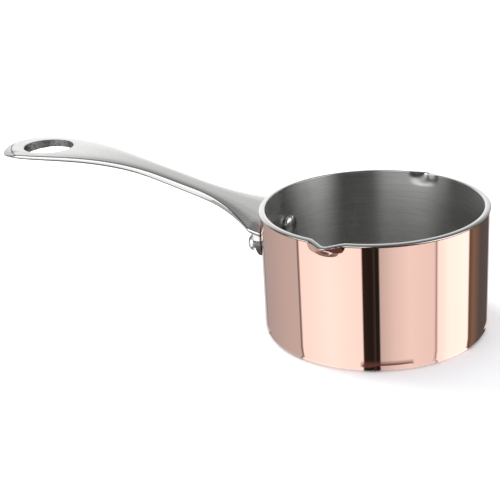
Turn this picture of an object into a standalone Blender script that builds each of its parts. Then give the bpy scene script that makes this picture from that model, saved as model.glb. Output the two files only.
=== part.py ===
"""Small two-spout copper saucepan with a stainless lining and a cast, riveted handle.

Metres, +Z up. The origin is the centre of the flat underside of the base. The handle points along -X,
and the two pouring spouts are pressed into the rim near -Y and +Y.
"""

import math

import bmesh
import bpy
from mathutils import Matrix, Vector

# ---- clearances -------------------------------------------------------------------------------
GAP = 0.0003  # between surfaces that touch on the real pan
SHANK_CLEARANCE = 0.0003  # round a rivet's shank

# ---- pot --------------------------------------------------------------------------------------
HEIGHT = 0.0506  # base to the top of the rim
BODY_RADIUS = 0.0446  # outside of the copper wall
COPPER_WALL = 0.0010
COPPER_FLOOR = 0.0013
BASE_FILLET = 0.0024  # outside corner between wall and base
LINING_WALL = 0.0007
LIP_PROUD = 0.0004  # how far the rolled lip stands out past the copper wall
LIP_THICKNESS = 0.0008
LIP_CREST = 0.0007  # from the lining's inner face to the highest line of the lip
LIP_FALL = 0.0006  # how far the lip rounds down to its outer edge
POT_STEPS = 120

# ---- pouring spouts ---------------------------------------------------------------------------
SPOUT_ANGLES = (266.0, 79.5)  # degrees about +Z from +X
SPOUT_HALF_ANGLE = 10.5
SPOUT_PUSH = 0.0034  # how far the rim is pushed out at the middle of a spout
SPOUT_DROP = 0.0008  # how far the rim dips there
SPOUT_DEPTH = 0.0058  # how far below the rim the spout starts
SPOUT_SHARPNESS = 0.12  # 0 gives a knife-sharp crease down the middle
SPOUT_EASE = 0.6  # 0 lets go of the rim fastest beside the crease
SPOUT_LEVELS = (0.0, 0.22, 0.42, 0.62, 0.8)  # rings of points in the pressed part, as shares of its depth

# ---- handle -----------------------------------------------------------------------------------
HANDLE_LENGTH = 0.1268  # from the wall to the tip
ROOT_DROP = 0.0069  # top face at the wall, below the rim
HANDLE_SLOPE = 0.279  # rise over run of the straight stretch
STRAIGHT_LENGTH = 0.040
ROOT_HALF_WIDTH = 0.0192  # where the flare meets the wall
FLARE_CURVE = 0.0205  # half-width that the flare would reach on the centre line
FLARE_LENGTH = 0.0315
NECK_HALF_WIDTH = 0.0056
NECK_END = 0.0488  # from the wall to where the handle starts to widen
END_HALF_WIDTH = 0.0150
END_LENGTH = 0.0160  # of the rounded end
ROOT_THICKNESS = 0.0043
END_THICKNESS = 0.0024
EDGE_ROUNDING = 0.0006
CROWN = 0.0003
ROOT_CROWN = 0.0016  # how far the edges fall away at the wall
CROWN_LEAD = 0.004  # the root's crown has begun to flatten this far inside the wall
ROUND_POINT = 0.3  # middle of a rounded edge, in from its corner, as a share of the rounding
SPINE_DEPTH = 0.0016  # rounded spine under the neck
END_SPINE = 0.0017  # rounded underside of the end
SPINE_END = 0.088  # from the wall to where the neck's spine has run out
DROOP_SETBACK = 0.0030  # crease where the end starts to fall away, back from the tip
DROOP_CURVE = 36.0  # how fast that crease sweeps back to the sides, per metre
DROOP_SHIFT = 0.003  # how far the crease's middle lies to the +Y side
DROOP_SLOPE = 0.36  # of the top face past the crease
UNDER_DROOP_SLOPE = 0.04
ROOT_TUCK = 0.012  # how far the bar runs on inside the wall before the pot is cut out of it
LONG_STATIONS = 22
END_STATIONS = 11
END_OVERRUN = 0.35  # of a station, left off at the very tip
EYE_SETBACK = 0.0213  # centre of the hanging eye, back from the tip
EYE_HALF_LENGTH = 0.0115
EYE_HALF_WIDTH = 0.0102
EYE_STEPS = 36

# ---- flange and rivets ------------------------------------------------------------------------
FLANGE_THICKNESS = 0.0031
FLANGE_HALF_WIDTH = 0.0184
FLANGE_BOTTOM = 0.0228  # below the rim
FLANGE_CORNER = 0.0100  # radius of its lower corners
FLANGE_TAPER = 0.0100  # height over which it thins towards its lower edge
FLANGE_EDGE = 0.0008  # what is left of its thickness there
FLANGE_CURVE = 0.2  # share of the thinning that is kept for the last of that height
FLANGE_MARGIN = 4  # degrees of plate on each side that are trimmed away
RIVET_DROP = 0.0164  # rivet axes, below the rim
RIVET_SPACING = 0.0232  # between the rivets, along the wall
SHANK_RADIUS = 0.0024
INNER_HEAD_RADIUS = 0.0040
INNER_HEAD_HEIGHT = 0.0020
OUTER_HEAD_RADIUS = 0.0034
OUTER_HEAD_HEIGHT = 0.0023
RIVET_STEPS = 24

# ---- modelling --------------------------------------------------------------------------------
SHARP_ANGLE = 40  # edges sharper than this aren't shaded smooth
CUT_MARGIN = 0.004  # how far a cutter runs past what it cuts

# ---- worked out -------------------------------------------------------------------------------
COPPER_INNER = BODY_RADIUS - COPPER_WALL
LINING_OUTER = COPPER_INNER - GAP
LINING_INNER = LINING_OUTER - LINING_WALL
LIP_RADIUS = BODY_RADIUS + LIP_PROUD
LIP_BOTTOM = HEIGHT - LIP_THICKNESS
COPPER_TOP = LIP_BOTTOM - GAP
LINING_FLOOR = COPPER_FLOOR + GAP
POT_FLOOR = LINING_FLOOR + LINING_WALL
HANDLE_WALL = BODY_RADIUS + GAP
FLANGE_RADIUS = HANDLE_WALL + FLANGE_THICKNESS
TIP_REACH = BODY_RADIUS + HANDLE_LENGTH
END_CENTRE = HANDLE_LENGTH - END_LENGTH
RIVET_Z = HEIGHT - RIVET_DROP
RIVET_TURN = math.degrees(RIVET_SPACING / 2 / BODY_RADIUS)
RIVET_ANGLES = {"rivet_left": 180 + RIVET_TURN, "rivet_right": 180 - RIVET_TURN}


def smoothstep(t):
    t = min(max(t, 0.0), 1.0)
    return t * t * (3 - 2 * t)


def add_object(name, bm):
    mesh = bpy.data.meshes.new(name)
    bmesh.ops.recalc_face_normals(bm, faces=bm.faces)
    bm.to_mesh(mesh)
    bm.free()
    mesh.shade_smooth()
    mesh.set_sharp_from_angle(angle=math.radians(SHARP_ANGLE))
    obj = bpy.data.objects.new(name, mesh)
    bpy.context.scene.collection.objects.link(obj)
    return obj


def add_material(obj, name, colour, roughness, metallic=1.0):
    material = bpy.data.materials.new(name)
    material.use_nodes = True
    shader = material.node_tree.nodes["Principled BSDF"]
    shader.inputs["Base Color"].default_value = (*colour, 1)
    shader.inputs["Roughness"].default_value = roughness
    shader.inputs["Metallic"].default_value = metallic
    obj.data.materials.append(material)


def turned(profile, steps):
    """A solid of revolution about Z from (radius, height) points that start and end on the axis."""
    bm = bmesh.new()
    verts = [bm.verts.new((radius, 0, height)) for radius, height in profile]
    edges = [bm.edges.new(pair) for pair in zip(verts, verts[1:])]
    bmesh.ops.spin(
        bm, geom=verts + edges, cent=(0, 0, 0), axis=(0, 0, 1), angle=math.tau, steps=steps, use_merge=True
    )
    bmesh.ops.remove_doubles(bm, verts=bm.verts, dist=1e-6)
    return bm


def arc(centre, radius, start, end, steps):
    """Points on an arc, angles in degrees, both ends included."""
    turns = [math.radians(start + (end - start) * i / steps) for i in range(steps + 1)]
    return [(centre[0] + radius * math.cos(t), centre[1] + radius * math.sin(t)) for t in turns]


def spout_levels(low, high):
    """Heights at which the wall needs a ring of points to take the spouts' shape."""
    start = HEIGHT - SPOUT_DEPTH
    levels = [start + SPOUT_DEPTH * share for share in SPOUT_LEVELS]
    return [z for z in levels if low < z < high]


def spout_amount(angle):
    """1 in the middle of a spout, 0 away from both."""
    for middle in SPOUT_ANGLES:
        off = abs((angle - middle + 180) % 360 - 180) / SPOUT_HALF_ANGLE
        if off < 1:
            e = SPOUT_SHARPNESS
            u = (math.hypot(off, e) - e) / (math.hypot(1, e) - e)
            return (1 - u) ** 2 * (1 + SPOUT_EASE * u)
    return 0.0


def press_spouts(bm):
    """Pushes the top of the wall out, and a little down, at each spout."""
    for vert in bm.verts:
        radius = math.hypot(vert.co.x, vert.co.y)
        if radius < LINING_INNER / 2:
            continue
        amount = spout_amount(math.degrees(math.atan2(vert.co.y, vert.co.x)))
        share = smoothstep((vert.co.z - HEIGHT + SPOUT_DEPTH) / SPOUT_DEPTH)
        grow = 1 + SPOUT_PUSH * amount * share / radius
        vert.co.x *= grow
        vert.co.y *= grow
        vert.co.z -= SPOUT_DROP * amount * share


def cut(obj, cutter, operation="DIFFERENCE"):
    """Applies a Boolean straight away and removes the cutter."""
    modifier = obj.modifiers.new(cutter.name, "BOOLEAN")
    modifier.operation = operation
    modifier.object = cutter
    graph = bpy.context.evaluated_depsgraph_get()
    mesh = bpy.data.meshes.new_from_object(obj.evaluated_get(graph))
    obj.modifiers.remove(modifier)
    obj.data = mesh
    bpy.data.objects.remove(cutter)
    return obj


def rivet_matrix(angle):
    """Takes +Z to the outward direction at this angle, at the rivets' height."""
    turn = Matrix.Rotation(math.radians(angle), 4, "Z") @ Matrix.Rotation(math.radians(90), 4, "Y")
    return Matrix.Translation((0, 0, RIVET_Z)) @ turn


def rivet_cutter(angle):
    radius = SHANK_RADIUS + SHANK_CLEARANCE
    inner, outer = LINING_INNER - CUT_MARGIN, FLANGE_RADIUS + CUT_MARGIN
    bm = turned([(0, outer), (radius, outer), (radius, inner), (0, inner)], RIVET_STEPS)
    bm.transform(rivet_matrix(angle))
    return add_object("rivet_cutter", bm)


def bore_for_rivets(obj):
    for angle in RIVET_ANGLES.values():
        cut(obj, rivet_cutter(angle))


# ---- copper shell -----------------------------------------------------------------------------
def build_copper_shell():
    corner = (BODY_RADIUS - BASE_FILLET, BASE_FILLET)
    inner_fillet = BASE_FILLET - COPPER_WALL
    inner_corner = (COPPER_INNER - inner_fillet, COPPER_FLOOR + inner_fillet)
    levels = spout_levels(BASE_FILLET, COPPER_TOP)
    profile = [(0, COPPER_FLOOR)]
    profile += arc(inner_corner, inner_fillet, -90, 0, 3)
    profile += [(COPPER_INNER, z) for z in levels] + [(COPPER_INNER, COPPER_TOP)]
    profile += [(BODY_RADIUS, COPPER_TOP)] + [(BODY_RADIUS, z) for z in reversed(levels)]
    profile += list(reversed(arc(corner, BASE_FILLET, -90, 0, 4))) + [(0, 0)]
    bm = turned(profile, POT_STEPS)
    press_spouts(bm)
    obj = add_object("copper_shell", bm)
    bore_for_rivets(obj)
    add_material(obj, "polished_copper", (0.90, 0.55, 0.43), 0.12)


# ---- steel lining -----------------------------------------------------------------------------
def build_steel_lining():
    outer_fillet = BASE_FILLET - COPPER_WALL - GAP
    inner_fillet = outer_fillet
    outer_corner = (LINING_OUTER - outer_fillet, LINING_FLOOR + outer_fillet)
    inner_corner = (LINING_INNER - inner_fillet, POT_FLOOR + inner_fillet)
    levels = spout_levels(BASE_FILLET, LIP_BOTTOM)
    crest = (LINING_INNER + LIP_CREST, HEIGHT)
    fall = [math.radians(90 * i / 4) for i in range(1, 5)]
    across = LIP_RADIUS - crest[0]
    profile = [(0, POT_FLOOR)]
    profile += arc(inner_corner, inner_fillet, -90, 0, 3)
    profile += [(LINING_INNER, z) for z in levels] + [(LINING_INNER, HEIGHT - LIP_CREST / 2)]
    profile += [(LINING_INNER + LIP_CREST / 3, HEIGHT - LIP_CREST / 8), crest]
    profile += [(crest[0] + across * math.sin(t), HEIGHT - LIP_FALL * (1 - math.cos(t))) for t in fall]
    profile += [(LIP_RADIUS - LIP_PROUD / 2, LIP_BOTTOM), (LINING_OUTER, LIP_BOTTOM)]
    profile += [(LINING_OUTER, z) for z in reversed(levels)]
    profile += list(reversed(arc(outer_corner, outer_fillet, -90, 0, 3))) + [(0, LINING_FLOOR)]
    bm = turned(profile, POT_STEPS)
    press_spouts(bm)
    obj = add_object("steel_lining", bm)
    bore_for_rivets(obj)
    add_material(obj, "brushed_steel", (0.62, 0.62, 0.61), 0.32)


# ---- handle -----------------------------------------------------------------------------------
def top_height(out):
    """Height of the handle's top face along its centre line, at this distance from the wall."""
    level_from = HANDLE_LENGTH - EYE_SETBACK
    run = min(out, STRAIGHT_LENGTH)
    span = level_from - STRAIGHT_LENGTH
    t = min(max((out - STRAIGHT_LENGTH) / span, 0), 1)
    run += span * (t - t**3 + t**4 / 2)
    return HEIGHT - ROOT_DROP + HANDLE_SLOPE * run


def half_width(out):
    flare = max(1 - out / FLARE_LENGTH, 0) ** 2
    spread = smoothstep((out - NECK_END) / (END_CENTRE - NECK_END))
    width = NECK_HALF_WIDTH + (FLARE_CURVE - NECK_HALF_WIDTH) * flare
    width = min(width, ROOT_HALF_WIDTH)
    width += (END_HALF_WIDTH - NECK_HALF_WIDTH) * spread
    past = (out - END_CENTRE) / END_LENGTH
    return width * math.sqrt(max(1 - past * past, 0)) if past > 0 else width


def past_crease(out, across):
    """How far a point lies past the curved crease near the tip, or 0 before it."""
    return max(out - HANDLE_LENGTH + DROOP_SETBACK + DROOP_CURVE * (across - DROOP_SHIFT) ** 2, 0)


def handle_section(out):
    """One closed ring of points across the handle, at this distance from the wall."""
    width = half_width(out)
    thick = ROOT_THICKNESS + (END_THICKNESS - ROOT_THICKNESS) * smoothstep(out / HANDLE_LENGTH)
    end_spine = END_SPINE * min(width / END_HALF_WIDTH, 1)
    spine = SPINE_DEPTH + (end_spine - SPINE_DEPTH) * smoothstep((out - NECK_END) / (SPINE_END - NECK_END))
    edge = min(EDGE_ROUNDING, width / 3)
    inset = ROUND_POINT * edge
    crown = ROOT_CROWN + (CROWN - ROOT_CROWN) * smoothstep((out + CROWN_LEAD) / FLARE_LENGTH)
    ring = [(0, 0), (width * 0.5, -crown / 4)]
    ring += [(width - edge, -crown), (width - inset, -crown - inset), (width, -crown - edge)]
    ring += [(width, edge - thick), (width - inset, inset - thick), (width - edge, -thick)]
    ring += [(width * 0.5, -thick - 0.75 * spine), (0, -thick - spine)]
    ring += [(-across, z) for across, z in reversed(ring[1:-1])]
    top = top_height(out)
    points = []
    for across, z in ring:
        slope = DROOP_SLOPE if z > -thick / 2 else UNDER_DROOP_SLOPE
        points.append(Vector((-BODY_RADIUS - out, across, top + z - slope * past_crease(out, across))))
    return points


def handle_blade():
    """The bar from inside the wall to the tip, lofted through its sections."""
    stations = [-ROOT_TUCK, 0.0]
    stations += [END_CENTRE * i / LONG_STATIONS for i in range(1, LONG_STATIONS + 1)]
    for i in range(1, END_STATIONS + 1):
        turn = math.radians(90 * i / (END_STATIONS + END_OVERRUN))
        stations.append(END_CENTRE + END_LENGTH * math.sin(turn))
    bm = bmesh.new()
    rings = [[bm.verts.new(point) for point in handle_section(out)] for out in stations]
    for near, far in zip(rings, rings[1:]):
        for i in range(len(near)):
            j = (i + 1) % len(near)
            bm.faces.new((near[i], near[j], far[j], far[i]))
    bm.faces.new(rings[0])
    bm.faces.new(reversed(rings[-1]))
    return add_object("handle", bm)


def flange_plate():
    """The curved plate that hugs the wall under the root, thinner at its lower edge."""
    bottom, top = HEIGHT - FLANGE_BOTTOM, HEIGHT - ROOT_DROP - ROOT_THICKNESS / 2
    inner = HANDLE_WALL - CUT_MARGIN / 2
    outline = [(inner, top), (FLANGE_RADIUS, top), (FLANGE_RADIUS, bottom + FLANGE_TAPER)]
    thin = FLANGE_THICKNESS - FLANGE_EDGE
    for share in (0.5, 0.9, 1.0):
        height = bottom + FLANGE_TAPER * (1 - share)
        thinned = (1 - FLANGE_CURVE) * share + FLANGE_CURVE * share**6
        outline.append((FLANGE_RADIUS - thin * thinned, height))
    outline.append((inner, bottom))
    reach = math.degrees(FLANGE_HALF_WIDTH / HANDLE_WALL) + FLANGE_MARGIN
    start = Matrix.Rotation(math.radians(180 - reach), 4, "Z")
    bm = bmesh.new()
    verts = [bm.verts.new(start @ Vector((radius, 0, height))) for radius, height in outline]
    face = bm.faces.new(verts)
    bmesh.ops.spin(
        bm, geom=[face], cent=(0, 0, 0), axis=(0, 0, 1), angle=math.radians(2 * reach), steps=28
    )
    return add_object("flange_plate", bm)


def flange_outline():
    """A prism along X with the flange's front shape: straight sides and rounded lower corners."""
    bottom, top = HEIGHT - FLANGE_BOTTOM, HEIGHT
    across = FLANGE_HALF_WIDTH - FLANGE_CORNER
    right = arc((across, bottom + FLANGE_CORNER), FLANGE_CORNER, -90, 0, 8)
    left = [(-y, z) for y, z in reversed(right)]
    outline = right + [(FLANGE_HALF_WIDTH, top), (-FLANGE_HALF_WIDTH, top)] + left
    bm = bmesh.new()
    face = bm.faces.new([bm.verts.new((-FLANGE_RADIUS - CUT_MARGIN, y, z)) for y, z in outline])
    grown = bmesh.ops.extrude_face_region(bm, geom=[face])["geom"]
    moved = [item for item in grown if isinstance(item, bmesh.types.BMVert)]
    bmesh.ops.translate(bm, verts=moved, vec=(FLANGE_RADIUS, 0, 0))
    return add_object("flange_outline", bm)


def eye_cutter():
    """The oval hanging eye, as a prism through the handle's end."""
    centre = TIP_REACH - EYE_SETBACK
    bm = bmesh.new()
    turns = [math.tau * i / EYE_STEPS for i in range(EYE_STEPS)]
    points = [(-centre + EYE_HALF_LENGTH * math.cos(t), EYE_HALF_WIDTH * math.sin(t)) for t in turns]
    face = bm.faces.new([bm.verts.new((x, y, 0)) for x, y in points])
    grown = bmesh.ops.extrude_face_region(bm, geom=[face])["geom"]
    moved = [item for item in grown if isinstance(item, bmesh.types.BMVert)]
    bmesh.ops.translate(bm, verts=moved, vec=(0, 0, 2 * HEIGHT))
    return add_object("eye_cutter", bm)


def wall_cutter():
    """What the pot takes out of the handle's root, with the gap that the two keep."""
    bm = turned([(0, 2 * HEIGHT), (HANDLE_WALL, 2 * HEIGHT), (HANDLE_WALL, -HEIGHT), (0, -HEIGHT)], POT_STEPS)
    return add_object("wall_cutter", bm)


def build_handle():
    handle = handle_blade()
    flange = cut(flange_plate(), flange_outline(), "INTERSECT")
    cut(handle, flange, "UNION")
    cut(handle, wall_cutter())
    cut(handle, eye_cutter())
    bore_for_rivets(handle)
    add_material(handle, "satin_cast_steel", (0.66, 0.66, 0.65), 0.28)


# ---- rivets -----------------------------------------------------------------------------------
def dome(radius, height, base, up, steps=5):
    """Points over a shallow dome, from its edge to its top; up is +1 or -1."""
    turns = [math.radians(90 * i / steps) for i in range(steps + 1)]
    return [(radius * math.cos(t), base + up * height * math.sin(t)) for t in turns]


def build_rivets():
    hollow = INNER_HEAD_RADIUS**2 / 2 / LINING_INNER
    seat_in = LINING_INNER - hollow - GAP
    seat_out = FLANGE_RADIUS + GAP
    profile = list(reversed(dome(OUTER_HEAD_RADIUS, OUTER_HEAD_HEIGHT, seat_out, 1)))
    profile += [(SHANK_RADIUS, seat_out), (SHANK_RADIUS, seat_in)]
    profile += dome(INNER_HEAD_RADIUS, INNER_HEAD_HEIGHT, seat_in, -1)
    for name, angle in RIVET_ANGLES.items():
        obj = add_object(name, turned(profile, RIVET_STEPS))
        obj.matrix_world = rivet_matrix(angle)
        add_material(obj, name + "_steel", (0.68, 0.68, 0.67), 0.22)


def main():
    for obj in list(bpy.data.objects):
        bpy.data.objects.remove(obj)
    build_copper_shell()
    build_steel_lining()
    build_handle()
    build_rivets()


main()
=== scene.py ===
# %% [markdown]
# # A small copper saucepan with two pouring spouts
#
# The pan is five pieces of metal: a copper shell, a stainless lining whose edge is rolled out over the
# copper, a long cast handle and the two rivets that hold it. The engineering model already says where
# each of them is, so this lesson loads that model first and builds the finer, polished pieces round it.

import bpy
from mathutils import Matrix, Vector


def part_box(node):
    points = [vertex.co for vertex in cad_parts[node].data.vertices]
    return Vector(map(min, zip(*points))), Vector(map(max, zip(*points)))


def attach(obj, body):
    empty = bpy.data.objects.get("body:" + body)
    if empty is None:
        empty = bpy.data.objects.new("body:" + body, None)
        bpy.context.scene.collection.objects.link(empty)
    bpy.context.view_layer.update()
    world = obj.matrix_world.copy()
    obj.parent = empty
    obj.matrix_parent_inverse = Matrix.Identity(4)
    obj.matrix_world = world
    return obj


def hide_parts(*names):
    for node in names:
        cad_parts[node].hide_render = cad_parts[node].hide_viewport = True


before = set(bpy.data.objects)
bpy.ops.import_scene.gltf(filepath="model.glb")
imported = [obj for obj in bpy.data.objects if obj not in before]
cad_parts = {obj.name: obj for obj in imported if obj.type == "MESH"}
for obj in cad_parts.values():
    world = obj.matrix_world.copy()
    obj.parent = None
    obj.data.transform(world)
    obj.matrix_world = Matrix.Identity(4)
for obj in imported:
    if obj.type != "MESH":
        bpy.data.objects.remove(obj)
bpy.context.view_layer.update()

# %% [markdown]
# ## Sizes
#
# Whatever the engineering model can tell is measured on it. The walls, the spouts and the handle's curves
# are the same named values that the model was designed with, in metres.

# %% Sizes that come from the model
import math

import bpy
from mathutils import Matrix, Vector

GAP = 0.0003  # left between pieces that touch
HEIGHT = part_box("steel_lining")[1].z
BODY_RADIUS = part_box("copper_shell")[1].x
LIP_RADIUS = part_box("steel_lining")[1].x
LINING_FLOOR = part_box("steel_lining")[0].z
TIP_REACH = -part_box("handle")[0].x
HANDLE_LENGTH = TIP_REACH - BODY_RADIUS
print(f"rim {2000 * LIP_RADIUS:.1f} mm across, {1000 * HEIGHT:.1f} mm high")
print(f"handle {1000 * HANDLE_LENGTH:.1f} mm long")

# %% Walls, lip and spouts
COPPER_WALL = 0.0010  # wall thicknesses can't be seen on the finished pan, so these are judged
COPPER_FLOOR = 0.0013
BASE_FILLET = 0.0024
LINING_WALL = 0.0007
LIP_PROUD = LIP_RADIUS - BODY_RADIUS
LIP_THICKNESS = 0.0008
LIP_CREST = 0.0007  # from the inner wall to the lip's highest line
LIP_FALL = 0.0006  # from there down to the outer edge
COPPER_INNER = BODY_RADIUS - COPPER_WALL
LINING_OUTER = COPPER_INNER - GAP
LINING_INNER = LINING_OUTER - LINING_WALL
LIP_BOTTOM = HEIGHT - LIP_THICKNESS
COPPER_TOP = LIP_BOTTOM - GAP
POT_FLOOR = LINING_FLOOR + LINING_WALL

SPOUT_ANGLES = (266.0, 79.5)  # degrees from +X
SPOUT_HALF_ANGLE = 10.5
SPOUT_PUSH = 0.0034
SPOUT_DROP = 0.0008
SPOUT_DEPTH = 0.0058
SPOUT_SHARPNESS = 0.12
SPOUT_EASE = 0.6

# %% [markdown]
# ## Turning a piece on the lathe
#
# The shell, the lining and the rivets are round. A round piece could be a cylinder that is beveled again
# and again, but a turner thinks of one outline and spins it. So a plane is merged to a single point, the
# point is extruded along the outline, and Spin carries the outline once round the axis.

# %% Helpers for selecting, drawing an outline and spinning it


def deselect_all():
    if bpy.context.mode != "OBJECT":
        bpy.ops.object.mode_set(mode="OBJECT")
    bpy.ops.object.select_all(action="DESELECT")


def pick(piece):
    deselect_all()
    piece.select_set(True)
    bpy.context.view_layer.objects.active = piece


def arc(centre, radius, start, end, steps):
    """Points on an arc, angles in degrees, both ends included."""
    turns = [math.radians(start + (end - start) * i / steps) for i in range(steps + 1)]
    return [(centre[0] + radius * math.cos(t), centre[1] + radius * math.sin(t)) for t in turns]


def turned(name, outline, steps):
    """Spins (radius, height) points once round Z."""
    deselect_all()
    bpy.ops.mesh.primitive_plane_add(size=0.01, enter_editmode=True)
    piece = bpy.context.active_object
    piece.name = name
    bpy.ops.mesh.merge(type="CENTER")
    here = Vector((0, 0, 0))
    for count, (radius, height) in enumerate(outline):
        there = Vector((radius, 0, height))
        if count == 0:
            bpy.ops.transform.translate(value=there - here)
        else:
            bpy.ops.mesh.extrude_vertices_move(TRANSFORM_OT_translate={"value": there - here})
        here = there
    bpy.ops.mesh.select_all(action="SELECT")
    bpy.ops.mesh.spin(steps=steps, angle=math.tau, center=(0, 0, 0), axis=(0, 0, 1), use_auto_merge=False)
    bpy.ops.mesh.select_all(action="SELECT")
    bpy.ops.mesh.remove_doubles(threshold=0.000002)
    bpy.ops.mesh.normals_make_consistent(inside=False)
    bpy.ops.object.mode_set(mode="OBJECT")
    print(f"{name}: {len(piece.data.polygons)} faces")
    return piece


# %% [markdown]
# ## The pouring spouts
#
# On the real pan a former presses the finished rim outwards, so shell and lining take one shape together.
# Proportional editing could pull a soft bump, but it can't hold the crisp crease down the middle. A rule
# is better here: how far a point moves depends on its angle from the spout's middle and on its height,
# and both pieces are given to the same rule, so they still nest afterwards.

# %% Press both spouts into a turned piece


def smoothstep(t):
    t = min(max(t, 0.0), 1.0)
    return t * t * (3 - 2 * t)


def spout_amount(angle):
    """1 in the middle of a spout, 0 away from both."""
    for middle in SPOUT_ANGLES:
        off = abs((angle - middle + 180) % 360 - 180) / SPOUT_HALF_ANGLE
        if off < 1:
            e = SPOUT_SHARPNESS
            u = (math.hypot(off, e) - e) / (math.hypot(1, e) - e)
            return (1 - u) ** 2 * (1 + SPOUT_EASE * u)
    return 0.0


def press_spouts(piece):
    moved = 0
    for vert in piece.data.vertices:
        radius = math.hypot(vert.co.x, vert.co.y)
        if radius < LINING_INNER / 2:
            continue
        amount = spout_amount(math.degrees(math.atan2(vert.co.y, vert.co.x)))
        share = smoothstep((vert.co.z - HEIGHT + SPOUT_DEPTH) / SPOUT_DEPTH)
        if amount * share > 0:
            grow = 1 + SPOUT_PUSH * amount * share / radius
            vert.co.x *= grow
            vert.co.y *= grow
            vert.co.z -= SPOUT_DROP * amount * share
            moved += 1
    print(f"{piece.name}: {moved} points pressed out")


# %% [markdown]
# ## Rivet holes
#
# The rivets run straight through flange, shell and lining. Each hole is cut with a Boolean, which is how
# a drill would do it: a cylinder is laid along the rivet's axis and taken away.

# %% Rivet places and a drill
RIVET_NAMES = ("rivet_left", "rivet_right")
SHANK_RADIUS = 0.0024
SHANK_CLEARANCE = 0.0003
DRILL_DEPTH = 0.02
DRILL_SIDES = 48


def rivet_angle(name):
    low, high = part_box(name)
    centre = (low + high) / 2
    return math.atan2(centre.y, centre.x)


def rivet_height(name):
    low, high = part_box(name)
    return (low.z + high.z) / 2


def boolean(piece, tool, operation="DIFFERENCE"):
    pick(piece)
    modifier = piece.modifiers.new("cut", "BOOLEAN")
    modifier.operation = operation
    modifier.object = tool
    bpy.ops.object.modifier_apply(modifier="cut")
    bpy.data.objects.remove(tool)


def drill_rivet_holes(piece):
    for name in RIVET_NAMES:
        turn = rivet_angle(name)
        middle = Vector((BODY_RADIUS * math.cos(turn), BODY_RADIUS * math.sin(turn), rivet_height(name)))
        deselect_all()
        bpy.ops.mesh.primitive_cylinder_add(
            vertices=DRILL_SIDES, radius=SHANK_RADIUS + SHANK_CLEARANCE, depth=DRILL_DEPTH,
            location=middle, rotation=(0, math.radians(90), turn),
        )
        boolean(piece, bpy.context.active_object)
    print(f"{piece.name}: drilled, {len(piece.data.polygons)} faces")


def smooth(piece, angle=35):
    pick(piece)
    bpy.ops.object.shade_smooth_by_angle(angle=math.radians(angle))


# %% [markdown]
# ## The copper shell
#
# A drawn cup of thin copper, open at the top, with a small radius where the wall meets the base. The
# outline goes up the inside, over the cut edge, down the outside and round the corner to the axis. The
# rings are close together near the rim, where the spouts need them, because a mirror shows every facet.

# %% Turn the shell
POT_STEPS = 480
SPOUT_RINGS = 18
WALL_RINGS = 12


def wall_heights(low, high):
    """Ring heights from low to high, dense in the part that the spouts bend."""
    start = HEIGHT - SPOUT_DEPTH
    plain = [low + (start - low) * i / WALL_RINGS for i in range(1, WALL_RINGS + 1)]
    bent = [start + (high - start) * i / SPOUT_RINGS for i in range(1, SPOUT_RINGS)]
    return plain + bent


fillet = (BODY_RADIUS - BASE_FILLET, BASE_FILLET)
inner_fillet = BASE_FILLET - COPPER_WALL
inner_corner = (COPPER_INNER - inner_fillet, COPPER_FLOOR + inner_fillet)
heights = wall_heights(BASE_FILLET, COPPER_TOP)
shell_outline = [(0, COPPER_FLOOR)]
shell_outline += arc(inner_corner, inner_fillet, -90, 0, 4)
shell_outline += [(COPPER_INNER, z) for z in heights[1:]] + [(COPPER_INNER, COPPER_TOP)]
shell_outline += [(BODY_RADIUS, COPPER_TOP)] + [(BODY_RADIUS, z) for z in reversed(heights)]
shell_outline += list(reversed(arc(fillet, BASE_FILLET, -90, 0, 12))) + [(0, 0)]
copper_body = turned("copper_body", shell_outline, POT_STEPS)
press_spouts(copper_body)
drill_rivet_holes(copper_body)
smooth(copper_body)

# %% [markdown]
# ## The steel lining and its rolled lip
#
# The lining is a second cup inside the first. Its edge is rolled out over the copper and polished, which
# is the bright ring that runs round the top of the pan. The lip's outline is a quick rise from the inner
# wall to a crest and a longer fall outwards, both as arcs, so the ring catches a thin line of light.

# %% Turn the lining
outer_fillet = BASE_FILLET - COPPER_WALL - GAP
lining_outer_corner = (LINING_OUTER - outer_fillet, LINING_FLOOR + outer_fillet)
lining_inner_corner = (LINING_INNER - outer_fillet, POT_FLOOR + outer_fillet)
crest = (LINING_INNER + LIP_CREST, HEIGHT)
across = LIP_RADIUS - crest[0]
rise = [math.radians(90 * i / 6) for i in range(1, 7)]
fall = [math.radians(90 * i / 8) for i in range(1, 9)]
lining_heights = wall_heights(BASE_FILLET + LINING_WALL, HEIGHT - LIP_CREST / 2)
lining_outline = [(0, POT_FLOOR), (LINING_INNER / 2, POT_FLOOR)]
lining_outline += arc(lining_inner_corner, outer_fillet, -90, 0, 6)
lining_outline += [(LINING_INNER, z) for z in lining_heights] + [(LINING_INNER, HEIGHT - LIP_CREST / 2)]
lining_outline += [
    (LINING_INNER + LIP_CREST * (1 - math.cos(t)), HEIGHT - LIP_CREST / 2 * (1 - math.sin(t))) for t in rise
]
lining_outline += [(crest[0] + across * math.sin(t), HEIGHT - LIP_FALL * (1 - math.cos(t))) for t in fall]
lining_outline += [(LIP_RADIUS - LIP_PROUD / 2, LIP_BOTTOM), (LINING_OUTER, LIP_BOTTOM)]
lining_outline += [(LINING_OUTER, z) for z in reversed(wall_heights(BASE_FILLET, LIP_BOTTOM))]
lining_outline += list(reversed(arc(lining_outer_corner, outer_fillet, -90, 0, 4))) + [(0, LINING_FLOOR)]
lining = turned("lining_and_lip", lining_outline, POT_STEPS)
press_spouts(lining)
drill_rivet_holes(lining)
smooth(lining)

# %% [markdown]
# ## The handle's curves
#
# The handle is one casting: it leaves the wall as a broad flare, narrows to a neck, sweeps up and widens
# to a flat end with an oval eye. Four rules hold its whole shape: the height of the top face, the
# half-width, the thickness and how the end falls away past a curved crease.

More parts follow.
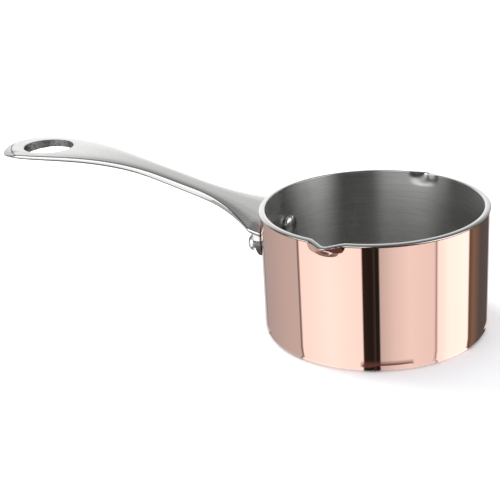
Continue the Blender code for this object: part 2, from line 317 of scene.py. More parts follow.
# %% Handle sizes
ROOT_DROP = 0.0069
HANDLE_SLOPE = 0.279
STRAIGHT_LENGTH = 0.040
ROOT_HALF_WIDTH = 0.0192
FLARE_CURVE = 0.0205
FLARE_LENGTH = 0.0315
NECK_HALF_WIDTH = 0.0056
NECK_END = 0.0488
END_HALF_WIDTH = 0.0150
END_LENGTH = 0.0160
ROOT_THICKNESS = 0.0043
END_THICKNESS = 0.0024
EDGE_ROUNDING = 0.0006
UNDER_ROUNDING = 0.60  # of the lower edges, as a share of the thickness
CROWN = 0.0003
ROOT_CROWN = 0.0016
CROWN_LEAD = 0.004
CROWN_POWER = 4  # keeps the top face flat and lets only its edges fall away
SPINE_DEPTH = 0.0016
END_SPINE = 0.0017
SPINE_END = 0.088
DROOP_SETBACK = 0.0030
DROOP_CURVE = 36.0
DROOP_SHIFT = 0.003
DROOP_SLOPE = 0.36
UNDER_DROOP_SLOPE = 0.04
EYE_SETBACK = 0.0213
EYE_HALF_LENGTH = 0.0115
EYE_HALF_WIDTH = 0.0102
ROOT_TUCK = 0.010
EDGE_WEAR = 0.0003  # what the softening takes off the edge of the eye
END_CENTRE = HANDLE_LENGTH - END_LENGTH

# %% The rules for height, width and the end's fall


def top_height(out):
    """Height of the top face on the centre line, at this distance from the wall."""
    run = min(out, STRAIGHT_LENGTH)
    span = HANDLE_LENGTH - EYE_SETBACK - STRAIGHT_LENGTH
    t = min(max((out - STRAIGHT_LENGTH) / span, 0), 1)
    return HEIGHT - ROOT_DROP + HANDLE_SLOPE * (run + span * (t - t**3 + t**4 / 2))


def half_width(out):
    flare = max(1 - out / FLARE_LENGTH, 0) ** 2
    width = min(NECK_HALF_WIDTH + (FLARE_CURVE - NECK_HALF_WIDTH) * flare, ROOT_HALF_WIDTH)
    width += (END_HALF_WIDTH - NECK_HALF_WIDTH) * smoothstep((out - NECK_END) / (END_CENTRE - NECK_END))
    past = max(out - END_CENTRE, 0) / END_LENGTH
    return width * math.sqrt(max(1 - past * past, 0))


def past_crease(out, y):
    return max(out - HANDLE_LENGTH + DROOP_SETBACK + DROOP_CURVE * (y - DROOP_SHIFT) ** 2, 0)


# %% [markdown]
# ## Lofting the casting
#
# A circle is extruded station by station into a straight tube, and then every point of the tube is put
# on the handle's section at its station. That is what a skinned loft does, and it keeps the long edges
# clean. The end is closed by the tube's own last ring.

# %% Loft the handle's bar
TOP_POINTS = 8
EDGE_POINTS = 5
UNDER_POINTS = 6
STATION_STEP = 0.0008
END_STATIONS = 26


def section(out):
    """The ring of (across, height) points at this distance from the wall, from the top centre round."""
    width = half_width(out)
    edge = min(EDGE_ROUNDING, width / 3)
    thick = ROOT_THICKNESS + (END_THICKNESS - ROOT_THICKNESS) * smoothstep(out / HANDLE_LENGTH)
    end_spine = END_SPINE * min(width / END_HALF_WIDTH, 1)
    spine = SPINE_DEPTH + (end_spine - SPINE_DEPTH) * smoothstep((out - NECK_END) / (SPINE_END - NECK_END))
    crown = ROOT_CROWN + (CROWN - ROOT_CROWN) * smoothstep((out + CROWN_LEAD) / FLARE_LENGTH)
    under = min(UNDER_ROUNDING * thick, width / 3)
    flat = width - edge
    half = [(flat * i / TOP_POINTS, -crown * (i / TOP_POINTS) ** CROWN_POWER) for i in range(TOP_POINTS)]
    half += arc((flat, -crown - edge), edge, 90, 0, EDGE_POINTS)
    half += arc((width - under, under - thick), under, 0, -90, EDGE_POINTS)
    for i in range(UNDER_POINTS - 1, -1, -1):
        share = i / UNDER_POINTS
        half.append(((width - under) * share, -thick - spine * (1 - share**2)))
    ring = half + [(-y, z) for y, z in reversed(half[1:-1])]
    placed = []
    for y, z in ring:
        slope = DROOP_SLOPE if z > -thick / 2 else UNDER_DROOP_SLOPE
        placed.append((y, top_height(out) + z - slope * past_crease(out, y)))
    return placed


long_count = round((END_CENTRE + ROOT_TUCK) / STATION_STEP)
stations = [-ROOT_TUCK + (END_CENTRE + ROOT_TUCK) * i / long_count for i in range(long_count + 1)]
stations += [
    END_CENTRE + END_LENGTH * math.sin(math.radians(90 * i / (END_STATIONS + 0.2)))
    for i in range(1, END_STATIONS + 1)
]
ring_size = len(section(0.01))

deselect_all()
bpy.ops.mesh.primitive_circle_add(
    vertices=ring_size, radius=1, fill_type="NGON", rotation=(0, math.radians(90), 0),
    location=(-BODY_RADIUS - stations[0], 0, 0),
)
handle = bpy.context.active_object
handle.name = "cast_handle"
bpy.ops.object.transform_apply(location=True, rotation=True, scale=True)
bpy.ops.object.mode_set(mode="EDIT")
bpy.ops.mesh.select_all(action="SELECT")
for near, far in zip(stations, stations[1:]):
    bpy.ops.mesh.extrude_region_move(TRANSFORM_OT_translate={"value": (near - far, 0, 0)})
bpy.ops.object.mode_set(mode="OBJECT")
for vert in handle.data.vertices:
    out = min(stations, key=lambda s: abs(s + BODY_RADIUS + vert.co.x))
    turn = math.atan2(vert.co.y, vert.co.z) % math.tau
    y, z = section(out)[round(turn / math.tau * ring_size) % ring_size]
    vert.co = (-BODY_RADIUS - out, y, z)
pick(handle)
bpy.ops.object.mode_set(mode="EDIT")
bpy.ops.mesh.select_all(action="SELECT")
bpy.ops.mesh.normals_make_consistent(inside=False)
bpy.ops.object.mode_set(mode="OBJECT")
print(f"bar: {len(stations)} stations of {ring_size} points")

# %% [markdown]
# ## The flange
#
# Under the root a curved plate hugs the wall and carries the rivets. It is a slice of a ring, so it is
# spun, and its round-cornered front outline is cut like a biscuit from sheet: an extruded outline keeps
# only what lies inside it.

# %% Spin the flange plate and trim it to its outline
FLANGE_THICKNESS = 0.0031
FLANGE_HALF_WIDTH = 0.0184
FLANGE_BOTTOM = 0.0228
FLANGE_CORNER = 0.0100
FLANGE_TAPER = 0.0100
FLANGE_EDGE = 0.0008
FLANGE_OVERLAP = 0.002  # the plate starts this far inside the wall; the seat is cut later
FLANGE_STEPS = 12
FLANGE_STRAIGHT = 0.8  # share of the taper that is straight
FLANGE_CURLED = 0.2  # share that turns in quickly at the lower edge
HANDLE_WALL = BODY_RADIUS + GAP
FLANGE_RADIUS = HANDLE_WALL + FLANGE_THICKNESS


def flange_plate():
    bottom, top = HEIGHT - FLANGE_BOTTOM, HEIGHT - ROOT_DROP - ROOT_THICKNESS / 2
    inner = HANDLE_WALL - FLANGE_OVERLAP
    thin = FLANGE_THICKNESS - FLANGE_EDGE
    outline = [(inner, bottom), (inner, top), (FLANGE_RADIUS, top)]
    for i in range(FLANGE_STEPS + 1):
        share = i / FLANGE_STEPS
        height = bottom + FLANGE_TAPER * (1 - share)
        turned_in = FLANGE_STRAIGHT * share + FLANGE_CURLED * share**6
        outline.append((FLANGE_RADIUS - thin * turned_in, height))
    outline.append((inner, bottom))
    return turned("flange_ring", outline, 360)


def flange_outline():
    """A block along X with the flange's front shape: straight sides and round lower corners."""
    bottom, top = HEIGHT - FLANGE_BOTTOM, HEIGHT
    side = FLANGE_HALF_WIDTH - FLANGE_CORNER
    right = arc((side, bottom + FLANGE_CORNER), FLANGE_CORNER, -90, 0, 16)
    outline = right + [(FLANGE_HALF_WIDTH, top), (-FLANGE_HALF_WIDTH, top)]
    outline += [(-y, z) for y, z in reversed(right)]
    deselect_all()
    bpy.ops.mesh.primitive_circle_add(
        vertices=len(outline), radius=0.01, fill_type="NGON", rotation=(0, math.radians(90), 0)
    )
    block = bpy.context.active_object
    bpy.ops.object.transform_apply(location=True, rotation=True, scale=True)
    for vert, (y, z) in zip(block.data.vertices, outline):
        vert.co = (-FLANGE_RADIUS - 0.01, y, z)
    bpy.ops.object.mode_set(mode="EDIT")
    bpy.ops.mesh.select_all(action="SELECT")
    bpy.ops.mesh.extrude_region_move(TRANSFORM_OT_translate={"value": (FLANGE_RADIUS, 0, 0)})
    bpy.ops.mesh.select_all(action="SELECT")
    bpy.ops.mesh.normals_make_consistent(inside=False)
    bpy.ops.object.mode_set(mode="OBJECT")
    return block


flange = flange_plate()
boolean(flange, flange_outline(), "INTERSECT")
boolean(handle, flange, "UNION")
print(f"bar and flange: {len(handle.data.polygons)} faces")

# %% [markdown]
# ## The pot's seat and the hanging eye
#
# The pot itself is the cutter for the flange's hollow face, with the gap that the two keep. The eye is an
# oval hole, cut square through and softened with the rest of the casting below.

# %% Cut the seat, the eye and the rivet holes
deselect_all()
bpy.ops.mesh.primitive_cylinder_add(vertices=360, radius=HANDLE_WALL, depth=4 * HEIGHT)
boolean(handle, bpy.context.active_object)
deselect_all()
bpy.ops.mesh.primitive_cylinder_add(
    vertices=96, radius=1, depth=0.04, location=(EYE_SETBACK - TIP_REACH, 0, top_height(END_CENTRE))
)
eye_tool = bpy.context.active_object
eye_tool.scale = (EYE_HALF_LENGTH - EDGE_WEAR, EYE_HALF_WIDTH - EDGE_WEAR, 1)
bpy.ops.object.transform_apply(location=True, rotation=True, scale=True)
boolean(handle, eye_tool)
drill_rivet_holes(handle)

# %% [markdown]
# ## Softening the casting
#
# A casting that has been tumbled and polished has no sharp edge anywhere, inside corners included. A
# Bevel on a mesh with this many cuts tears at the short edges. A voxel remesh gives the whole surface one
# even skin, and a few smoothing passes then round every edge by about half a millimetre.

# %% Remesh and smooth
SKIN_VOXEL = 0.00032
TUMBLE_PASSES = 5
TUMBLE_STRENGTH = 0.5

pick(handle)
remesh = handle.modifiers.new("skin", "REMESH")
remesh.mode = "VOXEL"
remesh.voxel_size = SKIN_VOXEL
bpy.ops.object.modifier_apply(modifier="skin")
soften = handle.modifiers.new("tumble", "CORRECTIVE_SMOOTH")
soften.smooth_type = "LENGTH_WEIGHTED"
soften.factor = TUMBLE_STRENGTH
soften.iterations = TUMBLE_PASSES
soften.use_only_smooth = True
bpy.ops.object.modifier_apply(modifier="tumble")
bpy.ops.object.shade_smooth()
print(f"cast handle: {len(handle.data.polygons)} faces")

# %% [markdown]
# ## The rivets
#
# Each rivet is one turned piece: a flat dome outside, the shank, and a wider, lower dome inside the pan.
# It is turned upright and then laid along its axis with a rotation that is applied, so that its place is
# in its mesh.

# %% Turn and place the rivets
INNER_HEAD_RADIUS = 0.0040
INNER_HEAD_HEIGHT = 0.0020
OUTER_HEAD_RADIUS = 0.0034
OUTER_HEAD_HEIGHT = 0.0023
HEAD_RIM = 0.12  # share of a head's height that stands upright
DOME_STEPS = 10


def dome(radius, height, base, up):
    """From the edge of a shallow dome to its top: a short upright rim, then the curve."""
    rim = HEAD_RIM * height
    points = [(radius, base)]
    for i in range(DOME_STEPS + 1):
        t = math.radians(90 * i / DOME_STEPS)
        points.append((radius * math.cos(t), base + up * (rim + (height - rim) * math.sin(t))))
    return points


def make_rivet(name):
    seat_in = LINING_INNER - INNER_HEAD_RADIUS**2 / 2 / LINING_INNER - GAP
    seat_out = FLANGE_RADIUS + GAP
    outline = list(reversed(dome(OUTER_HEAD_RADIUS, OUTER_HEAD_HEIGHT, seat_out, 1)))
    outline += [(SHANK_RADIUS, seat_out), (SHANK_RADIUS, seat_in)]
    outline += dome(INNER_HEAD_RADIUS, INNER_HEAD_HEIGHT, seat_in, -1)
    rivet = turned(name + "_polished", outline, 64)
    turn = Matrix.Rotation(rivet_angle(name), 4, "Z") @ Matrix.Rotation(math.radians(90), 4, "Y")
    rivet.data.transform(Matrix.Translation((0, 0, rivet_height(name))) @ turn)
    smooth(rivet, 50)
    return rivet


rivets = {name: make_rivet(name) for name in RIVET_NAMES}

# %% [markdown]
# ## Helpers for materials
#
# Every finish here is metal, so each material is one Principled shader with its own small set of
# patterns. The patterns read Object coordinates, because every piece's place is in its mesh.

# %% Node helpers


def new_material(name, colour, roughness):
    material = bpy.data.materials.new(name)
    material.use_nodes = True
    tree = material.node_tree
    shader = tree.nodes["Principled BSDF"]
    shader.inputs["Base Color"].default_value = (*colour, 1)
    shader.inputs["Metallic"].default_value = 1
    shader.inputs["Roughness"].default_value = roughness
    return material, tree, shader


def add(tree, kind, links=(), **values):
    """Adds a node, sets its properties, and joins or fills its inputs by number or name."""
    node = tree.nodes.new(kind)
    for key, value in values.items():
        setattr(node, key, value)
    for socket, source in dict(links).items():
        if isinstance(source, bpy.types.NodeSocket):
            tree.links.new(source, node.inputs[socket])
        else:
            node.inputs[socket].default_value = source
    return node


def math_node(tree, operation, first, second=0.0):
    return add(tree, "ShaderNodeMath", {0: first, 1: second}, operation=operation).outputs[0]


def ramp(tree, fac, stops, interpolation="LINEAR"):
    """A colour ramp from (place, brightness) or (place, (r, g, b)) stops."""
    node = add(tree, "ShaderNodeValToRGB", {0: fac})
    node.color_ramp.interpolation = interpolation
    elements = node.color_ramp.elements
    while len(elements) < len(stops):
        elements.new(0.5)
    for element, (place, colour) in zip(elements, stops):
        element.position = place
        colour = colour if isinstance(colour, tuple) else (colour,) * 3
        element.color = (*colour, 1)
    return node.outputs["Color"]


def remap(tree, value, low, high, to_low, to_high):
    node = add(tree, "ShaderNodeMapRange", {0: value, 1: low, 2: high, 3: to_low, 4: to_high})
    return node.outputs[0]


def object_xyz(tree):
    coords = add(tree, "ShaderNodeTexCoord").outputs["Object"]
    return coords, add(tree, "ShaderNodeSeparateXYZ", {0: coords}).outputs


def bump(tree, shader, height, strength, distance, normal=None):
    links = {"Height": height, "Strength": strength, "Distance": distance}
    if normal is not None:
        links["Normal"] = normal
    node = add(tree, "ShaderNodeBump", links)
    tree.links.new(node.outputs["Normal"], shader.inputs["Normal"])
    return node.outputs["Normal"]


# %% [markdown]
# ## Polished copper
#
# Mirror copper is nearly all reflection: its pink comes from the metal's own colour. A flat colour would
# look like plastic film, so the tone drifts a little over the wall, the wall has the faint upright waves
# that drawing leaves, and the buffing leaves very fine lines round the pot.

# %% Copper material
copper, tree, shader = new_material("mirror_copper", (0.93, 0.62, 0.53), 0.03)
coords, xyz = object_xyz(tree)
drift = add(tree, "ShaderNodeTexNoise", {"Vector": coords, "Scale": 35.0, "Detail": 2.0}).outputs[0]
PALE_COPPER = (0.95, 0.635, 0.545, 1)
DEEP_COPPER = (0.92, 0.605, 0.515, 1)
tone = add(tree, "ShaderNodeMix", {0: drift, 6: PALE_COPPER, 7: DEEP_COPPER}, data_type="RGBA")
tree.links.new(tone.outputs[2], shader.inputs["Base Color"])
flatten = add(tree, "ShaderNodeMapping", {"Vector": coords, "Scale": (1, 1, 0.04)}).outputs[0]
waves = add(tree, "ShaderNodeTexNoise", {"Vector": flatten, "Scale": 130.0, "Detail": 1.0}).outputs[0]
bump(tree, shader, waves, 0.10, 0.00006)
buffing = add(tree, "ShaderNodeMapping", {"Vector": coords, "Scale": (1, 1, 60)}).outputs[0]
lines = add(tree, "ShaderNodeTexNoise", {"Vector": buffing, "Scale": 60.0, "Detail": 3.0}).outputs[0]
tree.links.new(remap(tree, lines, 0.3, 0.7, 0.02, 0.04), shader.inputs["Roughness"])
copper_body.data.materials.append(copper)

# %% [markdown]
# ## Brushed and polished steel
#
# The lining is brushed round the pot, so its lines follow the circumference on the wall and rings on the
# floor. Stretching a noise along an angle would leave a seam where the angle wraps. Noise that is read
# at the point's direction from the axis, which has no wrap, and at its height and radius gives closed
# rings instead. A brushed surface spreads light across its grooves, so the tangent that the shader is
# given points across them: up the wall, and outwards on the floor. The lip is the same steel, polished.

# %% Lining materials
brushed, tree, shader = new_material("brushed_lining", (0.62, 0.62, 0.61), 0.33)
coords, xyz = object_xyz(tree)
outward = add(tree, "ShaderNodeVectorMath", {0: coords, 1: (1, 1, 0)}, operation="MULTIPLY").outputs[0]
radius = add(tree, "ShaderNodeVectorMath", {0: outward}, operation="LENGTH").outputs["Value"]
facing = add(tree, "ShaderNodeVectorMath", {0: outward}, operation="NORMALIZE").outputs[0]
facing_xyz = add(tree, "ShaderNodeSeparateXYZ", {0: facing}).outputs
rings = math_node(tree, "MULTIPLY", math_node(tree, "ADD", xyz[2], radius), 1000)
rings_at = add(tree, "ShaderNodeCombineXYZ", {0: facing_xyz[0], 1: facing_xyz[1], 2: rings}).outputs[0]
coarse = add(tree, "ShaderNodeTexNoise", {"Vector": rings_at, "Scale": 1.6, "Detail": 4.0, "Roughness": 0.7})
fine = add(tree, "ShaderNodeTexNoise", {"Vector": rings_at, "Scale": 5.0, "Detail": 3.0, "Roughness": 0.7})
strokes = math_node(tree, "ADD", coarse.outputs[0], fine.outputs[0])
bump(tree, shader, strokes, 0.5, 0.00004)
evened = math_node(tree, "MULTIPLY", strokes, 0.5)
tone = ramp(tree, evened, [(0.3, (0.50, 0.50, 0.49)), (0.7, (0.74, 0.74, 0.73))])
tree.links.new(tone, shader.inputs["Base Color"])
tangent = add(tree, "ShaderNodeCombineXYZ", {0: facing_xyz[0], 1: facing_xyz[1], 2: 1.0})
tree.links.new(tangent.outputs[0], shader.inputs["Tangent"])
shader.inputs["Anisotropic"].default_value = 0.95

lip_steel, tree, shader = new_material("polished_lip", (0.76, 0.76, 0.75), 0.12)
coords, xyz = object_xyz(tree)
marks = add(tree, "ShaderNodeTexNoise", {"Vector": coords, "Scale": 900.0, "Detail": 2.0}).outputs[0]
tree.links.new(remap(tree, marks, 0.3, 0.7, 0.09, 0.16), shader.inputs["Roughness"])

lining.data.materials.append(brushed)
lining.data.materials.append(lip_steel)
for face in lining.data.polygons:
    if face.center.z > HEIGHT - LIP_CREST - SPOUT_DROP * spout_amount(
        math.degrees(math.atan2(face.center.y, face.center.x))
    ):
        face.material_index = 1

# %% [markdown]
# ## The handle's finishes
#
# The handle's broad faces are satin, ground along their length. Its sides are polished bright, and the
# eye's wall is left rougher, as it was cast. The satin is painted darker along the end's crease and
# towards the tip, as painted shade where the end falls away. The flange below the root takes the eye's
# dark finish as painted shade under the handle. Faces are sorted by their direction and place.

# %% Handle materials
SATIN = (0.80, 0.80, 0.79)
CREASE_PLACE = 0.0003  # past the line where the end starts to fall away
CREASE_WIDTH = 0.0006
# Painted shade: a dark line along the crease where the end starts to fall away.
CREASE_PAINTED_SHADE = (0.16, 0.16, 0.16, 1)
# Painted shade: the end's colour darkens from the crease towards the tip.
TIP_SHADE_FADE = 0.004  # over this distance the end darkens towards the tip

satin, tree, shader = new_material("satin_cast_steel", SATIN, 0.26)
coords, xyz = object_xyz(tree)
stretched = add(tree, "ShaderNodeMapping", {"Vector": coords, "Scale": (0.06, 1, 1)}).outputs[0]
grain = add(tree, "ShaderNodeTexNoise", {"Vector": stretched, "Scale": 2600.0, "Detail": 3.0}).outputs[0]
tree.links.new(remap(tree, grain, 0.25, 0.75, 0.20, 0.32), shader.inputs["Roughness"])
bump(tree, shader, grain, 0.05, 0.00002)
# Painted shade on the end: a dark line along the crease, then darker towards the tip.
before_tip = math_node(tree, "SUBTRACT", DROOP_SETBACK - TIP_REACH, xyz[0])
off_middle = math_node(tree, "SUBTRACT", xyz[1], DROOP_SHIFT)
swept = math_node(tree, "MULTIPLY", math_node(tree, "MULTIPLY", off_middle, off_middle), DROOP_CURVE)
past = math_node(tree, "ADD", before_tip, swept)
near_line = math_node(tree, "ABSOLUTE", math_node(tree, "SUBTRACT", past, CREASE_PLACE))
crease_shade_mask = remap(tree, near_line, 0.3 * CREASE_WIDTH, CREASE_WIDTH, 1, 0)
# Painted shade: past the crease the satin colour falls to a darker grey towards the tip.
tip_shade_mask = remap(tree, past, 0, TIP_SHADE_FADE, 0, 1)
tip_painted_shade = ramp(tree, tip_shade_mask, [(0.0, SATIN), (0.2, (0.66, 0.66, 0.65)), (1.0, (0.45, 0.45, 0.44))])
tone = add(tree, "ShaderNodeMix", {0: crease_shade_mask, 6: tip_painted_shade, 7: CREASE_PAINTED_SHADE}, data_type="RGBA")
tree.links.new(tone.outputs[2], shader.inputs["Base Color"])

bright, tree, shader = new_material("bright_side_steel", (0.70, 0.70, 0.69), 0.09)
coords, xyz = object_xyz(tree)
marks = add(tree, "ShaderNodeTexNoise", {"Vector": coords, "Scale": 700.0, "Detail": 2.0}).outputs[0]
tree.links.new(remap(tree, marks, 0.3, 0.7, 0.06, 0.13), shader.inputs["Roughness"])

# As cast on the eye's wall; the same dark finish on the flange is painted shade under the root.
as_cast_and_shade, tree, shader = new_material("as_cast_eye_and_flange_shade", (0.42, 0.42, 0.41), 0.45)
coords, xyz = object_xyz(tree)
pits = add(tree, "ShaderNodeTexNoise", {"Vector": coords, "Scale": 1300.0, "Detail": 4.0}).outputs[0]
tree.links.new(ramp(tree, pits, [(0.35, 0.13), (0.65, 0.34)]), shader.inputs["Base Color"])
bump(tree, shader, pits, 0.5, 0.0001)

for material in (satin, bright, as_cast_and_shade):
    handle.data.materials.append(material)
eye_centre = Vector((EYE_SETBACK - TIP_REACH, 0))
ROOT_BLEND = 0.0022  # where the root runs out into the flange
FLANGE_SHOWS_BELOW = HEIGHT - ROOT_DROP - ROOT_THICKNESS - ROOT_BLEND
EYE_MARGIN = 0.0003
UPRIGHT = 0.55  # a face whose normal rises less than this is a side
for face in handle.data.polygons:
    offset = face.center.to_2d() - eye_centre
    oval = math.hypot(offset.x / (EYE_HALF_LENGTH + EYE_MARGIN), offset.y / (EYE_HALF_WIDTH + EYE_MARGIN))
    upright = abs(face.normal.z) < UPRIGHT
    if upright and oval < 1:
        face.material_index = 2
    # The flange gets the dark as-cast finish as painted shade under the handle's root.
    elif face.center.z < FLANGE_SHOWS_BELOW and face.center.x > -FLANGE_RADIUS - GAP:
        face.material_index = 2
    elif upright and face.center.x < -FLANGE_RADIUS:
        face.material_index = 1

# %% Rivet material
rivet_steel, tree, shader = new_material("polished_rivet_steel", (0.82, 0.82, 0.81), 0.16)
coords, xyz = object_xyz(tree)
dents = add(tree, "ShaderNodeTexNoise", {"Vector": coords, "Scale": 500.0, "Detail": 2.0}).outputs[0]
bump(tree, shader, dents, 0.15, 0.00006)
tree.links.new(remap(tree, dents, 0.3, 0.7, 0.12, 0.22), shader.inputs["Roughness"])
for rivet in rivets.values():
    rivet.data.materials.append(rivet_steel)

# %% [markdown]
# ## The studio
#
# Polished metal is a picture of what stands round it, so the studio matters as much as the material. The
# wall of the pot mirrors a low ring of the room: pale boards with dark gaps between them. That room is
# made as a World, where brightness depends on direction alone: one ramp round the compass for what lies
# below the rim's level, one for what lies above it, and one for height. The directions were worked out
# from where each band stands on the real pan, seen from this camera, so the bands fall in place from
# there. From other sides the metal mirrors the same room, but nothing says that the real one looked so.
# Only reflections meet the boards: the camera and matt surfaces see an even daylight.

# %% World
FULL_TURN = 360.0


def around(stops):
    """Stops given in degrees from +X, as places on a ramp."""
    return [(degrees / FULL_TURN, brightness) for degrees, brightness in stops]


LOW_ROOM = around([
    (0, 1.30), (8, 1.45), (34, 1.50), (36.2, (0.12, 0.09, 0.07)), (44, (0.23, 0.17, 0.12)), (58, 0.10),
    (84, 0.10), (90, 0.80), (133, 0.66), (135, 0.30), (138.6, 0.30), (140, 0.42), (185, 0.57), (206, 0.60),
    (206.5, 0.18), (208.0, 0.18), (209, 1.12), (243, 1.28), (275.6, 1.15), (276.2, (0.03, 0.02, 0.014)),
    (286.5, 0.015), (288, (0.07, 0.05, 0.04)), (289.5, 0.015), (293, 0.02), (293.6, 0.62), (308, 0.83),
    (323, 0.96), (350, 0.90), (350.8, 0.34), (352.2, 0.34), (353.6, 1.25),
])
HIGH_ROOM = around([
    (0, 2.0), (22, 1.8), (34, 0.10), (58, 0.34), (84, 0.48), (96, 0.95), (108, 1.22), (150, 1.15),
    (162, 0.30), (170, 0.06), (196, 0.06), (206, 1.6), (250, 2.5), (279, 1.8), (286, 0.08), (328, 0.06),
    (336, 1.4), (348, 2.4),
])
# The table close to the pan, darker and browner, and the directions where it starts nearer the horizon.
STEEP_DOWN = around([
    (0, (0.14, 0.09, 0.08)), (40, 0.14), (128, 0.12), (134, 0.33), (170, 0.36), (200, 0.16), (235, 0.16),
    (255, 0.28), (271, 0.28), (277, (0.12, 0.06, 0.055)), (345, (0.12, 0.06, 0.055)),
])
EARLY_BOARDS = around([
    (0, 0), (82, 0), (84, 1), (131, 1), (133, 0), (272, 0), (275, 1), (326, 1), (328, 0),
])
DAYLIGHT = (1.26, 1.29, 1.34)
HORIZON_BLUR = 0.04

world = bpy.data.worlds.new("studio")
bpy.context.scene.world = world
world.use_nodes = True
tree = world.node_tree
background = tree.nodes["Background"]
direction = add(tree, "ShaderNodeTexCoord").outputs["Generated"]
way = add(tree, "ShaderNodeSeparateXYZ", {0: direction}).outputs
heading = math_node(tree, "ARCTAN2", way[1], way[0])
compass = math_node(tree, "FRACT", math_node(tree, "DIVIDE", heading, math.tau))
low_room = ramp(tree, compass, LOW_ROOM)
high_room = ramp(tree, compass, HIGH_ROOM)
lift = remap(tree, way[2], -1, 1, 0, 1)
ceiling = ramp(tree, lift, [(0.5, 1.0), (0.66, 0.95), (0.76, 0.55), (0.88, 0.24), (1.0, 0.14)])
above = add(
    tree, "ShaderNodeMix", {0: 1.0, 6: high_room, 7: ceiling}, data_type="RGBA", blend_type="MULTIPLY"
)
steep = ramp(tree, lift, [(0.0, 0.0), (0.006, 0.0), (0.009, 1.0), (0.125, 1.0), (0.145, 0.0)])
reaches_up = ramp(tree, lift, [(0.245, 1.0), (0.262, 0.0)])
early = math_node(tree, "MULTIPLY", reaches_up, ramp(tree, compass, EARLY_BOARDS))
darkened = math_node(tree, "MAXIMUM", steep, early)
table = ramp(tree, compass, STEEP_DOWN)
down = add(tree, "ShaderNodeMix", {0: darkened, 6: low_room, 7: table}, data_type="RGBA")
is_up = remap(tree, way[2], -HORIZON_BLUR, HORIZON_BLUR, 0, 1)
room = add(tree, "ShaderNodeMix", {0: is_up, 6: down.outputs[2], 7: above.outputs[2]}, data_type="RGBA")
path = add(tree, "ShaderNodeLightPath")
plain = math_node(tree, "MAXIMUM", path.outputs["Is Camera Ray"], path.outputs["Is Diffuse Ray"])
sky = add(tree, "ShaderNodeMix", {0: plain, 6: room.outputs[2], 7: (*DAYLIGHT, 1)}, data_type="RGBA")
tree.links.new(sky.outputs[2], background.inputs["Color"])
background.inputs["Strength"].default_value = 1.0

# %% [markdown]
# ## Floor, light and camera
#
# The floor is a plain pale sheet. It takes the pan's soft shadow but isn't mirrored in the metal, which
# mirrors the room's boards instead. One large soft light stands high on the left and behind.

# %% Floor and light
FLOOR_SIZE = 12
FLOOR_BELOW = 0.0002
LAMP_PLACE = (-0.9, 0.3, 0.8)
LAMP_SIZE = 0.9
LAMP_POWER = 14

deselect_all()
bpy.ops.mesh.primitive_plane_add(size=FLOOR_SIZE)
floor = bpy.context.active_object
floor.name = "floor"
pale, tree, shader = new_material("pale_floor", (0.86, 0.86, 0.86), 0.9)
shader.inputs["Metallic"].default_value = 0
shader.inputs["Specular IOR Level"].default_value = 0
floor.data.materials.append(pale)
floor.visible_glossy = False
floor.location.z = -FLOOR_BELOW

soft_light = bpy.data.lights.new("soft_light", "AREA")
soft_light.shape = "DISK"
soft_light.size = LAMP_SIZE
soft_light.energy = LAMP_POWER
lamp = bpy.data.objects.new("soft_light", soft_light)
bpy.context.scene.collection.objects.link(lamp)
lamp.location = LAMP_PLACE
lamp.rotation_euler = (Vector((0, 0, 0)) - lamp.location).to_track_quat("-Z", "Y").to_euler()
lamp.visible_glossy = False
lamp.visible_camera = False

# %% [markdown]
# ## A card round the foot
#
# The small radius at the foot of the wall looks steeply down, at the table right in front of it. On the
# real pan it shows the same boards as the wall does, so it can't be told from the wall. A disc that only
# reflections can see does that here: it repeats the low room round the foot. Its pattern is laid out for
# this camera's compass direction, as a studio sets a card for one shot. It is not right from other sides,
# where it shows as light and dark patches along the foot. At the front it reaches a little too short, and
# leaves a thin dark line across the foot that the real pan doesn't have.

# %% Foot card
FOOT_CARD_RADIUS = BODY_RADIUS + 0.0025
VIEW_FROM = 288.9  # compass direction of the camera, in degrees
FRONT_BOARDS = (288, 309)  # where the card reaches further out
FRONT_REACH = 1.05
CARD_BELOW = 0.0001
CARD_SIDES = 96

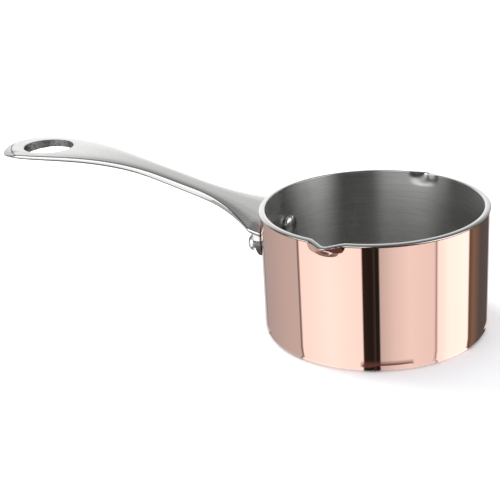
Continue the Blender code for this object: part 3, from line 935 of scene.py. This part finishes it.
deselect_all()
bpy.ops.mesh.primitive_circle_add(
    vertices=CARD_SIDES, radius=FOOT_CARD_RADIUS, fill_type="NGON", location=(0, 0, -CARD_BELOW)
)
foot_card = bpy.context.active_object
foot_card.name = "foot_card"
for vert in foot_card.data.vertices:
    if FRONT_BOARDS[0] < math.degrees(math.atan2(vert.co.y, vert.co.x)) % FULL_TURN < FRONT_BOARDS[1]:
        vert.co *= FRONT_REACH
bpy.ops.object.transform_apply(location=True, rotation=True, scale=True)
card_glow, tree, shader = new_material("foot_card_glow", (0, 0, 0), 1.0)
shader.inputs["Metallic"].default_value = 0
shader.inputs["Specular IOR Level"].default_value = 0
coords, xyz = object_xyz(tree)
half_turns = math_node(tree, "DIVIDE", math_node(tree, "ARCTAN2", xyz[1], xyz[0]), math.pi)
mirrored = math_node(tree, "SUBTRACT", half_turns, VIEW_FROM / FULL_TURN)
tree.links.new(ramp(tree, math_node(tree, "FRACT", mirrored), LOW_ROOM), shader.inputs["Emission Color"])
shader.inputs["Emission Strength"].default_value = 1.0
foot_card.data.materials.append(card_glow)
foot_card.visible_camera = False
foot_card.visible_diffuse = False
foot_card.visible_shadow = False

# %% Camera
CAMERA_TURN = 18.9  # degrees round from -Y, distances in metres
CAMERA_DISTANCE = 0.40817
CAMERA_HEIGHT = 0.193815
HEADING = 25.83
TILT_DOWN = 21.47
ROLL = -3.588
LENS = 79.2
SENSOR = 36.0
CLIP_START = 0.01

camera_data = bpy.data.cameras.new("camera")
camera_data.lens = LENS
camera_data.sensor_width = SENSOR
camera_data.clip_start = CLIP_START
camera = bpy.data.objects.new("camera", camera_data)
bpy.context.scene.collection.objects.link(camera)
turn = math.radians(CAMERA_TURN)
place = (CAMERA_DISTANCE * math.sin(turn), -CAMERA_DISTANCE * math.cos(turn), CAMERA_HEIGHT)
aim = Matrix.Rotation(math.radians(HEADING), 4, "Z") @ Matrix.Rotation(math.radians(90 - TILT_DOWN), 4, "X")
camera.matrix_world = Matrix.Translation(place) @ aim @ Matrix.Rotation(math.radians(ROLL), 4, "Z")
bpy.context.scene.camera = camera
bpy.context.scene.view_settings.view_transform = "Standard"

# %% [markdown]
# ## Handing the pieces over
#
# Nothing on this pan moves, so every piece rides on the one body. Each stands for the plain piece of the
# engineering model that it refines, and that plain piece is hidden.

# %% Ride and replace
for piece, node, slot in (
    (copper_body, "copper_shell", "copper"),
    (lining, "steel_lining", "lining"),
    (handle, "handle", "handle"),
    (rivets["rivet_left"], "rivet_left", "rivets"),
    (rivets["rivet_right"], "rivet_right", "rivets"),
):
    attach(piece, "root")
    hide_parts(node)
